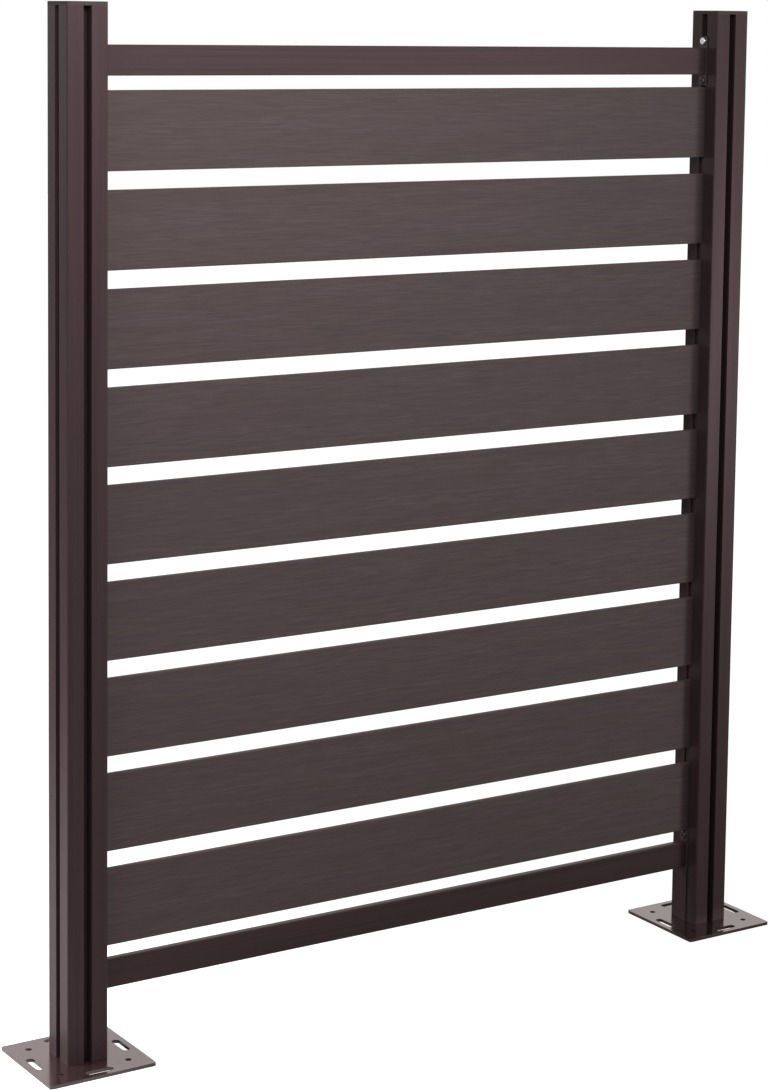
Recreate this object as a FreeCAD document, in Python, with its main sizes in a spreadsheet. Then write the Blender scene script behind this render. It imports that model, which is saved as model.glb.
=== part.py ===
import FreeCAD, Part
import os
import Sketcher

# A free-standing garden privacy screen. Two slotted aluminium posts on base plates hold nine composite
# boards, between a top rail and a bottom rail. X runs along the screen, Y away from the viewer and Z up, in
# millimetres. The origin is on the ground, in the middle of the screen.

os.makedirs("parts", exist_ok=True)
doc = FreeCAD.newDocument("privacy_screen")

SIZES = (
    # The layout of the whole screen.
    ("clear_span", 1300, "between the inner faces of the posts"),
    ("ground_gap", 116, "from the ground to the bottom rail"),
    ("board_count", 9, "boards, one above another"),
    ("board_gap", 31.5, "between two boards, the height of a spacer"),
    ("post_rise", 64, "from the top rail to the top of the post"),
    # The post, an extruded square tube with a channel in each side.
    ("post_side", 76, "side of the square post"),
    ("post_wall", 2.2, "outer wall of the post"),
    ("post_corner", 3, "radius of the post's long edges"),
    ("channel_depth", 18, "from the post's face to the channel's floor"),
    ("channel_wall", 1.8, "walls and floor of each channel"),
    ("port_wall", 2.3, "wall of a screw port"),
    # The base plate.
    ("plate_side", 200, "side of the square base plate"),
    ("plate_thickness", 6, "thickness of the base plate"),
    ("plate_corner", 4, "radius of the plate's corners"),
    ("anchor_slot_length", 52, "overall length of an anchor slot"),
    ("anchor_slot_width", 14, "width of an anchor slot"),
    ("anchor_slot_edge", 18, "from the plate's edge to a slot's centre line"),
    ("anchor_hole", 11, "diameter of a corner hole"),
    ("anchor_hole_edge", 36, "from each of the plate's edges to a corner hole's centre"),
    # The post cap.
    ("cap_thickness", 7, "height of the cap above the post"),
    ("cap_edge", 1.2, "radius of the cap's top edge"),
    ("cap_plug", 18, "depth of the cap's plug in the post"),
    ("cap_plug_wall", 2, "wall of the plug"),
    # The boards and the rails.
    ("board_height", 136, "height of a board"),
    ("board_thickness", 13, "thickness of a board"),
    ("board_edge", 1.5, "radius of a board's long edges"),
    ("board_end_gap", 2, "from a board's end to the channel's floor"),
    ("rail_height", 52, "height of a rail"),
    ("rail_thickness", 14, "thickness of a rail"),
    ("rail_wall", 1.5, "wall of the rail's tube"),
    ("rail_edge", 2, "radius of the rail's long edges"),
    # The brackets, the strips under them and the spacers.
    ("bracket_width", 22, "width of a bracket's plate"),
    ("bracket_plate", 2.5, "thickness of a bracket's plate"),
    ("bracket_corner", 2, "radius of the corners of a tab"),
    ("tab_margin", 2, "from a screw's head to the end of its tab"),
    ("tab_gap", 3, "from the end of a tab to the board next to it"),
    ("tongue_length", 25, "length of the tongue inside the rail"),
    ("tongue_wall", 2.5, "wall of the tongue"),
    ("strip_width", 21, "width of the strip's head"),
    ("strip_head", 1.5, "thickness of the strip's head"),
    ("strip_standoff", 1, "gap between the strip's head and the post"),
    ("spacer_recess", 4, "from the post's face to the spacer"),
    ("spacer_wall", 2.5, "wall of a spacer and of a strip's neck"),
    # The screws.
    ("screw_shank", 4.8, "diameter of every screw"),
    ("screw_head", 14, "diameter of a bracket screw's head"),
    ("screw_head_height", 3.2, "height of a bracket screw's head"),
    ("screw_head_bevel", 1.6, "bevel round the head's rim"),
    ("screw_gap", 5, "from the rail to a bracket screw's head"),
    ("screw_bite", 6, "length of a bracket screw past the channel's floor"),
    ("base_screw_length", 30, "length of a base screw"),
    ("base_screw_head", 9.4, "diameter of a base screw's flat head"),
    ("recess_width", 1.4, "width of each arm of the cross recess"),
    ("recess_length", 4.6, "length of each arm of the cross recess"),
    ("recess_depth", 1.6, "depth of the cross recess"),
    # The clearances.
    ("board_fit", 1, "on each side of a board in its channel"),
    ("thread_fit", 0.2, "a screw in the hole that it bites into"),
    ("hole_fit", 0.6, "a screw in the hole that it passes through"),
    ("side_fit", 0.3, "on each side of a piece in a channel or a tube"),
)

sheet = doc.addObject("Spreadsheet::Sheet", "Sizes")
for row, (alias, number, meaning) in enumerate(SIZES, start=1):
    sheet.set(f"A{row}", meaning)
    sheet.set(f"B{row}", str(number))
    sheet.setAlias(f"B{row}", alias)
doc.recompute()

# The post's section, as expressions of the sheet, measured from the post's axis.
POST_HALF = "(Sizes.post_side / 2)"
CHANNEL_HALF = "(Sizes.board_thickness / 2 + Sizes.board_fit)"
CHANNEL_FLOOR = f"({POST_HALF} - Sizes.channel_depth)"
CORE_HALF = f"({CHANNEL_FLOOR} - Sizes.channel_wall)"
CHAMBER_START = f"({CHANNEL_HALF} + Sizes.channel_wall)"
CHAMBER_END = f"({POST_HALF} - Sizes.post_wall)"
PORT_BORE = "(Sizes.screw_shank + Sizes.thread_fit)"
PORT_OUTSIDE = f"({PORT_BORE} + 2 * Sizes.port_wall)"
PORT_REACH = f"({CHAMBER_END} - {PORT_OUTSIDE} / 2)"
# What sits in a channel: half its width, and its depth from the post's face.
FILLER_HALF = f"({CHANNEL_HALF} - Sizes.side_fit)"
FILLER_DEPTH = "(Sizes.channel_depth - Sizes.side_fit)"
# The bracket's tab and its screw, measured from the rail.
SCREW_RISE = "(Sizes.screw_gap + Sizes.screw_head / 2)"
TAB_HEIGHT = f"({SCREW_RISE} + Sizes.screw_head / 2 + Sizes.tab_margin)"
RAIL_GAP = f"({TAB_HEIGHT} + Sizes.tab_gap)"
# Places along the screen and heights above the ground.
FACE = "(Sizes.clear_span / 2)"
POST_AXIS = f"({FACE} + {POST_HALF})"
RAIL_LENGTH = "(Sizes.clear_span - 2 * Sizes.bracket_plate)"
BOARD_LENGTH = "(Sizes.clear_span + 2 * (Sizes.channel_depth - Sizes.board_end_gap))"
BOARD_PITCH = "(Sizes.board_height + Sizes.board_gap)"
LOWEST_BOARD = f"(Sizes.ground_gap + Sizes.rail_height + {RAIL_GAP})"
BOARDS_TOP = f"({LOWEST_BOARD} + Sizes.board_count * {BOARD_PITCH} - Sizes.board_gap)"
TOP_RAIL = f"({BOARDS_TOP} + {RAIL_GAP})"
POST_TOP = f"({TOP_RAIL} + Sizes.rail_height + Sizes.post_rise)"
POST_LENGTH = f"({POST_TOP} - Sizes.plate_thickness)"
# The bracket screws: above and below the top rail, and above the bottom rail.
BRACKET_SCREWS = {
    "top_bracket_upper_screws": f"({TOP_RAIL} + Sizes.rail_height + {SCREW_RISE})",
    "top_bracket_lower_screws": f"({TOP_RAIL} - {SCREW_RISE})",
    "bottom_bracket_screws": f"(Sizes.ground_gap + Sizes.rail_height + {SCREW_RISE})",
}

SIDES = (("left", -1), ("right", 1))
BOARD_COUNT = int(sheet.get("board_count"))
HALF_TURN = 180
FULL_TURN = 360
THROUGH_ALL = 1
TOUCH = 1e-3
nodes = []


def value(expression):
    """The number that an expression of the sheet stands for."""
    return float(sheet.evalExpression(expression))


def origin_feature(body, role):
    """One of the body's own origin planes or axes."""
    return next(item for item in body.Origin.OriginFeatures if item.Role == role)


def new_body(label):
    """An empty body under its own label, kept for the export."""
    body = doc.addObject("PartDesign::Body", label)
    body.Label = label
    nodes.append(body)
    return body


def place(body, along="0", up="0", turned=0):
    """Puts a body at two expressions, along X and Z, and turns it about Z in degrees."""
    upright = FreeCAD.Vector(0, 0, 1)
    body.Placement = FreeCAD.Placement(FreeCAD.Vector(0, 0, 0), FreeCAD.Rotation(upright, turned))
    body.setExpression("Placement.Base.x", along)
    body.setExpression("Placement.Base.z", up)


def place_at_face(body, sign, up):
    """Puts a body on a post's inner face, with the body's own X axis towards the middle of the screen."""
    place(body, f"{sign} * {FACE}", up, HALF_TURN if sign > 0 else 0)


def sketch_on(body, name, role="XY_Plane", offset=None):
    """A sketch on one of the body's origin planes, or at an offset from it."""
    sketch = body.newObject("Sketcher::SketchObject", name)
    sketch.AttachmentSupport = [(origin_feature(body, role), "")]
    sketch.MapMode = "FlatFace"
    if offset:
        sketch.setExpression("AttachmentOffset.Base.z", offset)
    return sketch


def bind(sketch, kind, references, expression):
    """Adds a constraint whose value follows the sheet."""
    index = sketch.addConstraint(Sketcher.Constraint(kind, *references, value(expression)))
    sketch.setExpression(f"Constraints[{index}]", expression)


def pin(sketch, element, point, across, up):
    """Holds a point of a sketch element at two expressions from the sketch's origin."""
    bind(sketch, "DistanceX", (-1, 1, element, point), across)
    bind(sketch, "DistanceY", (-1, 1, element, point), up)


def rectangle(sketch, left, right, bottom, top):
    """A rectangle whose sides lie at four expressions from the sketch's origin."""
    x0, x1, y0, y1 = (value(side) for side in (left, right, bottom, top))
    corners = [FreeCAD.Vector(x, y, 0) for x, y in ((x0, y0), (x1, y0), (x1, y1), (x0, y1))]
    first = sketch.GeometryCount
    for start, end in zip(corners, corners[1:] + corners[:1]):
        sketch.addGeometry(Part.LineSegment(start, end), False)
    for step in range(len(corners)):
        following = first + (step + 1) % len(corners)
        sketch.addConstraint(Sketcher.Constraint("Coincident", first + step, 2, following, 1))
        direction = "Vertical" if step % 2 else "Horizontal"
        sketch.addConstraint(Sketcher.Constraint(direction, first + step))
    pin(sketch, first, 1, left, bottom)
    pin(sketch, first + 2, 1, right, top)


def centred_rectangle(sketch, half_across, half_up):
    """A rectangle centred on the sketch's origin."""
    rectangle(sketch, f"-{half_across}", half_across, f"-{half_up}", half_up)


def circle(sketch, across, up, diameter):
    """A circle about a point given by two expressions."""
    centre = FreeCAD.Vector(value(across), value(up), 0)
    element = sketch.addGeometry(Part.Circle(centre, FreeCAD.Vector(0, 0, 1), value(diameter) / 2), False)
    pin(sketch, element, 3, across, up)
    bind(sketch, "Diameter", (element,), diameter)


def outline(sketch, points):
    """A closed run of straight lines through points given as pairs of expressions."""
    corners = [FreeCAD.Vector(value(across), value(up), 0) for across, up in points]
    first = sketch.GeometryCount
    for start, end in zip(corners, corners[1:] + corners[:1]):
        sketch.addGeometry(Part.LineSegment(start, end), False)
    for step, (across, up) in enumerate(points):
        before = first + (step - 1) % len(points)
        sketch.addConstraint(Sketcher.Constraint("Coincident", before, 2, first + step, 1))
        pin(sketch, first + step, 1, across, up)


def pad(body, sketch, length, backwards=False):
    """Adds material from a sketch, along its normal or backwards."""
    feature = body.newObject("PartDesign::Pad", f"{sketch.Name}_pad")
    feature.Profile = sketch
    feature.setExpression("Length", length)
    feature.Reversed = backwards
    body.Tip = feature
    doc.recompute()
    return feature


def pocket(body, sketch, length=None, forwards=True):
    """Cuts a sketch out of the body, along its normal or against it, to a depth or right through."""
    before = body.Shape.Volume
    feature = body.newObject("PartDesign::Pocket", f"{sketch.Name}_cut")
    feature.Profile = sketch
    feature.Reversed = forwards
    if length:
        feature.setExpression("Length", length)
    else:
        feature.Type = THROUGH_ALL
    body.Tip = feature
    doc.recompute()
    if body.Shape.Volume >= before:
        raise RuntimeError(f"{sketch.Name} cuts nothing")
    return feature


def revolve(body, sketch, axis):
    """Turns a sketch right round one of its own axes or edges."""
    feature = body.newObject("PartDesign::Revolution", f"{sketch.Name}_turned")
    feature.Profile = sketch
    feature.ReferenceAxis = (sketch, [axis])
    feature.Angle = FULL_TURN
    body.Tip = feature
    doc.recompute()
    return feature


def around(body, name, count, *features):
    """Repeats features about the body's Z axis."""
    pattern = body.newObject("PartDesign::PolarPattern", name)
    pattern.Originals = list(features)
    pattern.Axis = (origin_feature(body, "Z_Axis"), [""])
    pattern.Angle = FULL_TURN
    pattern.Occurrences = count
    body.Tip = pattern
    doc.recompute()
    return pattern


def soften(body, name, kind, size, test):
    """Rounds or bevels the edges of the body that pass a test on their bounding box."""
    base = body.Tip
    edges = [f"Edge{n}" for n, edge in enumerate(base.Shape.Edges, start=1) if test(edge.BoundBox)]
    feature = body.newObject(f"PartDesign::{kind}", name)
    feature.Base = (base, edges)
    feature.setExpression("Radius" if kind == "Fillet" else "Size", size)
    body.Tip = feature
    doc.recompute()
    return feature


def is_upright(box):
    """True for the box of a straight edge along Z."""
    return box.XLength + box.YLength < TOUCH < box.ZLength


def is_lengthways(box):
    """True for the box of a straight edge along X."""
    return box.YLength + box.ZLength < TOUCH < box.XLength


def cross_recess(body, name, role, offset, across, up, forwards):
    """The two crossed cuts of a screw's recess, about a point of a plane."""
    cuts = []
    long, short = "Sizes.recess_length / 2", "Sizes.recess_width / 2"
    for arm, wide, high in (("flat", long, short), ("tall", short, long)):
        sketch = sketch_on(body, f"{name}_{arm}_recess", role, offset)
        rectangle(sketch, f"{across} - {wide}", f"{across} + {wide}", f"{up} - {high}", f"{up} + {high}")
        cuts.append(pocket(body, sketch, "Sizes.recess_depth", forwards))
    return cuts


# The posts: extruded aluminium, a square tube with a channel in each of its four sides. A screw port fills
# each corner of the hollow, and the bracket screws bite into the floor of the inner channel.
def make_post(side, sign):
    name = f"{side}_post"
    body = new_body(name)
    square = sketch_on(body, f"{name}_square")
    centred_rectangle(square, POST_HALF, POST_HALF)
    pad(body, square, POST_LENGTH)
    soften(body, f"{name}_edges", "Fillet", "Sizes.post_corner", is_upright)

    channel = sketch_on(body, f"{name}_channel")
    rectangle(channel, CHANNEL_FLOOR, POST_HALF, f"-{CHANNEL_HALF}", CHANNEL_HALF)
    around(body, f"{name}_channels", 4, pocket(body, channel))
    core = sketch_on(body, f"{name}_core")
    centred_rectangle(core, CORE_HALF, CORE_HALF)
    pocket(body, core)
    chamber = sketch_on(body, f"{name}_chamber")
    rectangle(chamber, CHAMBER_START, CHAMBER_END, CHAMBER_START, CHAMBER_END)
    around(body, f"{name}_chambers", 4, pocket(body, chamber))

    port = sketch_on(body, f"{name}_port")
    circle(port, PORT_REACH, PORT_REACH, PORT_OUTSIDE)
    around(body, f"{name}_ports", 4, pad(body, port, POST_LENGTH))
    corner = sketch_on(body, f"{name}_corner")
    rectangle(corner, PORT_REACH, CHAMBER_END, PORT_REACH, CHAMBER_END)
    around(body, f"{name}_corners", 4, pad(body, corner, POST_LENGTH))
    bore = sketch_on(body, f"{name}_bore")
    circle(bore, PORT_REACH, PORT_REACH, PORT_BORE)
    around(body, f"{name}_bores", 4, pocket(body, bore))

    holes = sketch_on(body, f"{name}_screw_holes", "YZ_Plane")
    for height in BRACKET_SCREWS.values():
        circle(holes, "0", f"{height} - Sizes.plate_thickness", PORT_BORE)
    pocket(body, holes, POST_HALF)
    place(body, f"{sign} * {POST_AXIS}", "Sizes.plate_thickness", HALF_TURN if sign > 0 else 0)


for side, sign in SIDES:
    make_post(side, sign)


# The base plates: steel plate with an anchor slot along each side, a plain hole near each corner, and four
# countersunk holes under the post's screw ports.
def make_base_plate(side, sign):
    name = f"{side}_base_plate"
    body = new_body(name)
    half = "(Sizes.plate_side / 2)"
    square = sketch_on(body, f"{name}_square")
    centred_rectangle(square, half, half)
    pad(body, square, "Sizes.plate_thickness")
    soften(body, f"{name}_corners", "Fillet", "Sizes.plate_corner", is_upright)

    slot_half = "(Sizes.anchor_slot_length - Sizes.anchor_slot_width) / 2"
    slot_line = f"({half} - Sizes.anchor_slot_edge)"
    slot_side = "Sizes.anchor_slot_width / 2"
    middle = sketch_on(body, f"{name}_anchor_middle")
    rectangle(middle, f"-{slot_half}", slot_half, f"{slot_line} - {slot_side}", f"{slot_line} + {slot_side}")
    around(body, f"{name}_anchor_middles", 4, pocket(body, middle))
    for end, direction in (("first", ""), ("second", "-")):
        rounding = sketch_on(body, f"{name}_anchor_{end}_end")
        circle(rounding, f"{direction}{slot_half}", slot_line, "Sizes.anchor_slot_width")
        around(body, f"{name}_anchor_{end}_ends", 4, pocket(body, rounding))

    corner = sketch_on(body, f"{name}_corner_hole")
    hole_reach = f"({half} - Sizes.anchor_hole_edge)"
    circle(corner, hole_reach, hole_reach, "Sizes.anchor_hole")
    around(body, f"{name}_corner_holes", 4, pocket(body, corner))

    port_hole = "(Sizes.screw_shank + Sizes.hole_fit)"
    port = sketch_on(body, f"{name}_port_hole")
    circle(port, PORT_REACH, PORT_REACH, port_hole)
    around(body, f"{name}_port_holes", 4, pocket(body, port))
    rim = value(port_hole)

    def is_port_rim(box):
        return box.ZMax < TOUCH and abs(box.XLength - rim) < TOUCH and abs(box.YLength - rim) < TOUCH

    soften(
        body,
        f"{name}_countersinks",
        "Chamfer",
        "(Sizes.base_screw_head - Sizes.screw_shank) / 2",
        is_port_rim,
    )
    place(body, f"{sign} * {POST_AXIS}")


for side, sign in SIDES:
    make_base_plate(side, sign)


# The base screws: flat-headed screws from under each plate into the post's four ports.
def make_base_screws(side, sign):
    name = f"{side}_base_screws"
    body = new_body(name)
    body.AllowCompound = True
    shank = "Sizes.screw_shank / 2"
    head = "(Sizes.base_screw_head / 2 - Sizes.side_fit)"
    profile = sketch_on(body, f"{name}_profile", "XZ_Plane", f"-{PORT_REACH}")
    outline(
        profile,
        (
            (PORT_REACH, "Sizes.side_fit"),
            (f"{PORT_REACH} + {head}", "Sizes.side_fit"),
            (f"{PORT_REACH} + {shank}", f"{head} - {shank} + Sizes.side_fit"),
            (f"{PORT_REACH} + {shank}", "Sizes.base_screw_length"),
            (PORT_REACH, "Sizes.base_screw_length"),
        ),
    )
    screw = revolve(body, profile, "Edge5")
    recess = cross_recess(body, name, "XY_Plane", "Sizes.side_fit", PORT_REACH, PORT_REACH, forwards=True)
    around(body, f"{name}_group", 4, screw, *recess)
    place(body, f"{sign} * {POST_AXIS}")


for side, sign in SIDES:
    make_base_screws(side, sign)


# The post caps: moulded covers, as wide as the post, with a square plug that fits between the channels'
# floors.
def make_post_cap(side, sign):
    name = f"{side}_post_cap"
    body = new_body(name)
    cover = sketch_on(body, f"{name}_cover")
    centred_rectangle(cover, POST_HALF, POST_HALF)
    pad(body, cover, "Sizes.cap_thickness")
    soften(body, f"{name}_corners", "Fillet", "Sizes.post_corner", is_upright)
    top = value("Sizes.cap_thickness") - TOUCH
    soften(body, f"{name}_edge", "Fillet", "Sizes.cap_edge", lambda box: box.ZMin > top)

    plug_half = f"({CORE_HALF} - Sizes.side_fit)"
    plug = sketch_on(body, f"{name}_plug")
    centred_rectangle(plug, plug_half, plug_half)
    pad(body, plug, "Sizes.cap_plug", backwards=True)
    hollow_half = f"({plug_half} - Sizes.cap_plug_wall)"
    hollow = sketch_on(body, f"{name}_hollow")
    centred_rectangle(hollow, hollow_half, hollow_half)
    pocket(body, hollow, "Sizes.cap_plug", forwards=False)
    place(body, f"{sign} * {POST_AXIS}", POST_TOP)


for side, sign in SIDES:
    make_post_cap(side, sign)


# The rails: rectangular aluminium tubes between the brackets' plates.
def make_rail(name, height):
    body = new_body(name)
    start = f"-{RAIL_LENGTH} / 2"
    half_thick = "(Sizes.rail_thickness / 2)"
    section = sketch_on(body, f"{name}_section", "YZ_Plane", start)
    rectangle(section, f"-{half_thick}", half_thick, "0", "Sizes.rail_height")
    pad(body, section, RAIL_LENGTH)
    soften(body, f"{name}_edges", "Fillet", "Sizes.rail_edge", is_lengthways)
    inside = f"({half_thick} - Sizes.rail_wall)"
    bore = sketch_on(body, f"{name}_bore", "YZ_Plane", start)
    rectangle(bore, f"-{inside}", inside, "Sizes.rail_wall", "Sizes.rail_height - Sizes.rail_wall")
    pocket(body, bore)
    place(body, up=height)


make_rail("bottom_rail", "Sizes.ground_gap")
make_rail("top_rail", TOP_RAIL)


# The rail brackets: a plate against the post's inner face, a tongue inside the rail, and a block in the
# channel. A bottom bracket stands on a strip, so it has no lower tab, and the lowest board rests on its block.
def make_bracket(level, side, sign, height):
    name = f"{level}_{side}_bracket"
    body = new_body(name)
    lower_tab, block_end = {"top": (TAB_HEIGHT, TAB_HEIGHT), "bottom": ("0", RAIL_GAP)}[level]
    half = "(Sizes.bracket_width / 2)"
    plate = sketch_on(body, f"{name}_plate", "YZ_Plane")
    rectangle(plate, f"-{half}", half, f"-{lower_tab}", f"Sizes.rail_height + {TAB_HEIGHT}")
    pad(body, plate, "Sizes.bracket_plate")

    def is_tab_corner(box):
        return is_lengthways(box) and (level == "top" or box.ZMin > value("Sizes.rail_height"))

    soften(body, f"{name}_corners", "Fillet", "Sizes.bracket_corner", is_tab_corner)

    block = sketch_on(body, f"{name}_block", "YZ_Plane")
    rectangle(block, f"-{FILLER_HALF}", FILLER_HALF, f"-{lower_tab}", f"Sizes.rail_height + {block_end}")
    pad(body, block, FILLER_DEPTH, backwards=True)

    tongue_half = "(Sizes.rail_thickness / 2 - Sizes.rail_wall - Sizes.side_fit)"
    tongue_start = "(Sizes.rail_wall + Sizes.side_fit)"
    wall = "Sizes.tongue_wall"
    tongue = sketch_on(body, f"{name}_tongue", "YZ_Plane", "Sizes.bracket_plate")
    rectangle(tongue, f"-{tongue_half}", tongue_half, tongue_start, f"Sizes.rail_height - {tongue_start}")
    pad(body, tongue, "Sizes.tongue_length")
    hollow_half = f"({tongue_half} - {wall})"
    hollow_start = f"({tongue_start} + {wall})"
    hollow = sketch_on(body, f"{name}_hollow", "YZ_Plane", "Sizes.bracket_plate")
    rectangle(hollow, f"-{hollow_half}", hollow_half, hollow_start, f"Sizes.rail_height - {hollow_start}")
    pocket(body, hollow, "Sizes.tongue_length")

    holes = sketch_on(body, f"{name}_screw_holes", "YZ_Plane", "Sizes.bracket_plate")
    hole = "Sizes.screw_shank + Sizes.hole_fit"
    circle(holes, "0", f"Sizes.rail_height + {SCREW_RISE}", hole)
    if level == "top":
        circle(holes, "0", f"-{SCREW_RISE}", hole)
    pocket(body, holes, forwards=False)
    place_at_face(body, sign, height)


for side, sign in SIDES:
    make_bracket("bottom", side, sign, "Sizes.ground_gap")
    make_bracket("top", side, sign, TOP_RAIL)


# The bracket screws: pan-headed screws with a cross recess, one at each post, through the bracket's tab and
# block into the channel's floor.
def make_bracket_screws(name, height):
    body = new_body(name)
    body.AllowCompound = True
    head_face = f"({FACE} - Sizes.bracket_plate)"
    tip = f"({FACE} + Sizes.channel_depth + Sizes.screw_bite)"
    head_end = f"({head_face} - Sizes.screw_head_height)"
    head = "Sizes.screw_head / 2"
    shank = "Sizes.screw_shank / 2"
    bevel = "Sizes.screw_head_bevel"
    profile = sketch_on(body, f"{name}_profile", "XZ_Plane")
    outline(
        profile,
        (
            (head_end, "0"),
            (tip, "0"),
            (tip, shank),
            (head_face, shank),
            (head_face, head),
            (f"{head_end} + {bevel}", head),
            (head_end, f"{head} - {bevel}"),
        ),
    )
    screw = revolve(body, profile, "H_Axis")
    recess = cross_recess(body, name, "YZ_Plane", head_end, "0", "0", forwards=True)
    around(body, f"{name}_pair", 2, screw, *recess)
    place(body, up=height)


for name, height in BRACKET_SCREWS.items():
    make_bracket_screws(name, height)


# The boards: solid wood-grained composite, with their ends in the channels. The highest is the first.
def make_board(number):
    name = f"board_{number}"
    body = new_body(name)
    half = "(Sizes.board_thickness / 2)"
    section = sketch_on(body, f"{name}_section", "YZ_Plane", f"-{BOARD_LENGTH} / 2")
    rectangle(section, f"-{half}", half, "0", "Sizes.board_height")
    pad(body, section, BOARD_LENGTH)
    soften(body, f"{name}_edges", "Fillet", "Sizes.board_edge", is_lengthways)
    place(body, up=f"{LOWEST_BOARD} + (Sizes.board_count - {number}) * {BOARD_PITCH}")


for number in range(1, BOARD_COUNT + 1):
    make_board(number)


# The spacers: lengths of square tube, deep in each channel, that carry one board on the next. The highest is
# the first.
def make_spacer(side, sign, number):
    name = f"{side}_spacer_{number}"
    body = new_body(name)
    wall = "Sizes.spacer_wall"
    section = sketch_on(body, f"{name}_section")
    rectangle(section, f"-{FILLER_DEPTH}", "-Sizes.spacer_recess", f"-{FILLER_HALF}", FILLER_HALF)
    pad(body, section, "Sizes.board_gap")
    inside = f"({FILLER_HALF} - {wall})"
    bore = sketch_on(body, f"{name}_bore")
    rectangle(bore, f"-{FILLER_DEPTH} + {wall}", f"-Sizes.spacer_recess - {wall}", f"-{inside}", inside)
    pocket(body, bore)
    under = f"{LOWEST_BOARD} + Sizes.board_height + (Sizes.board_count - {number} - 1) * {BOARD_PITCH}"
    place_at_face(body, sign, under)


for side, sign in SIDES:
    for number in range(1, BOARD_COUNT):
        make_spacer(side, sign, number)


# The strips: aluminium profiles that stand on the base plates and carry the bottom brackets. The neck fills
# the channel, and the head stands a little off the post's face.
def make_strip(side, sign):
    name = f"{side}_strip"
    body = new_body(name)
    wall = "Sizes.spacer_wall"
    length = "Sizes.ground_gap - Sizes.plate_thickness"
    neck = sketch_on(body, f"{name}_neck")
    rectangle(neck, f"-{FILLER_DEPTH}", "Sizes.strip_standoff", f"-{FILLER_HALF}", FILLER_HALF)
    pad(body, neck, length)
    head = sketch_on(body, f"{name}_head")
    head_end = "Sizes.strip_standoff + Sizes.strip_head"
    rectangle(head, "Sizes.strip_standoff", head_end, "-Sizes.strip_width / 2", "Sizes.strip_width / 2")
    pad(body, head, length)
    inside = f"({FILLER_HALF} - {wall})"
    bore = sketch_on(body, f"{name}_bore")
    rectangle(bore, f"-{FILLER_DEPTH} + {wall}", "Sizes.strip_standoff", f"-{inside}", inside)
    pocket(body, bore)
    place_at_face(body, sign, "Sizes.plate_thickness")


for side, sign in SIDES:
    make_strip(side, sign)

doc.recompute()
failed = [item.Name for item in doc.Objects if "Invalid" in item.State or "Error" in item.State]
if failed:
    raise RuntimeError(f"these failed: {failed}")
for node in nodes:
    if node.Shape.isNull() or not node.Shape.isValid():
        raise RuntimeError(f"{node.Label} isn't a valid shape")
for node in nodes:
    node.Shape.exportStep(f"parts/{node.Label}.step")
    print(node.Label, len(node.Shape.Solids), round(node.Shape.Volume))
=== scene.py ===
import math
import bmesh
import bpy
from mathutils import Matrix, Vector


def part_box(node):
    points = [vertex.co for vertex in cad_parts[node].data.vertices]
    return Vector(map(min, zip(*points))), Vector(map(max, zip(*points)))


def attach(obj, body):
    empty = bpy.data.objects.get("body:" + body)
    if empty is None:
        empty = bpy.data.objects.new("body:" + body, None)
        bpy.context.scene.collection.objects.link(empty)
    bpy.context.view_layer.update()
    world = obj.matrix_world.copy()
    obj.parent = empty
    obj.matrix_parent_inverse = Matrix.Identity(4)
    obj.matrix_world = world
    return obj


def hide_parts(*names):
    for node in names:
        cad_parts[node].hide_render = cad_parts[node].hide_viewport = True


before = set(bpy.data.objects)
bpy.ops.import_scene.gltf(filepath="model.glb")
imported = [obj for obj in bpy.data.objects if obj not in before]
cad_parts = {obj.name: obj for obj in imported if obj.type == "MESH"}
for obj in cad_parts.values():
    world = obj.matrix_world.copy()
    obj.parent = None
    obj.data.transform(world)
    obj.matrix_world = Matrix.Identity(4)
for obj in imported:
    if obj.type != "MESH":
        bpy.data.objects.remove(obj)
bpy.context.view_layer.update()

# Base plates: a 6 mm steel square under each post, laser-cut with an anchor slot along each side and a hole
# near each corner, then powder coated in a deep semi-gloss. Four countersunk holes under the post take its
# screws.
PLATE_CORNER = 0.004
PLATE_EDGE = 0.0003
ANCHOR_SLOT_LENGTH = 0.052
ANCHOR_SLOT_WIDTH = 0.014
ANCHOR_SLOT_REACH = 0.082
ANCHOR_HOLE_RADIUS = 0.0055
ANCHOR_HOLE_REACH = 0.064
PORT_REACH = 0.031
PORT_HOLE_RADIUS = 0.0027
COUNTERSINK_RADIUS = 0.005
CLEAR = 0.01
TOUCH = 1e-5
ROUND_SIDES = 48
SLOT_SIDES = 46
SHARP = math.radians(35)
FLAT = math.radians(0.2)
ALONG = 0.999
X, Y, Z = range(3)
COAT_PATCH = 0.04
ORANGE_PEEL = 0.003
ORANGE_PEEL_DEPTH = 0.00001
NOISE_LOW = 0.3
NOISE_HIGH = 0.7


def start_box(name, low, high):
    """A block between two corners, from a cube primitive, with its place in its mesh."""
    bpy.ops.object.select_all(action="DESELECT")
    low, high = Vector(low), Vector(high)
    bpy.ops.mesh.primitive_cube_add(size=1, location=(low + high) / 2, scale=high - low)
    bpy.ops.object.transform_apply(location=True, rotation=True, scale=True)
    bpy.context.object.name = name
    return bpy.context.object


def start_rod(name, start, end, radius, end_radius=None, sides=ROUND_SIDES):
    """A rod or a cone between two points, from a cone primitive, with its place in its mesh."""
    bpy.ops.object.select_all(action="DESELECT")
    start, end = Vector(start), Vector(end)
    bpy.ops.mesh.primitive_cone_add(
        vertices=sides,
        radius1=radius,
        radius2=radius if end_radius is None else end_radius,
        depth=(end - start).length,
        location=(start + end) / 2,
        rotation=(end - start).to_track_quat("Z", "Y").to_euler(),
    )
    bpy.ops.object.transform_apply(location=True, rotation=True, scale=True)
    bpy.context.object.name = name
    return bpy.context.object


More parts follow.
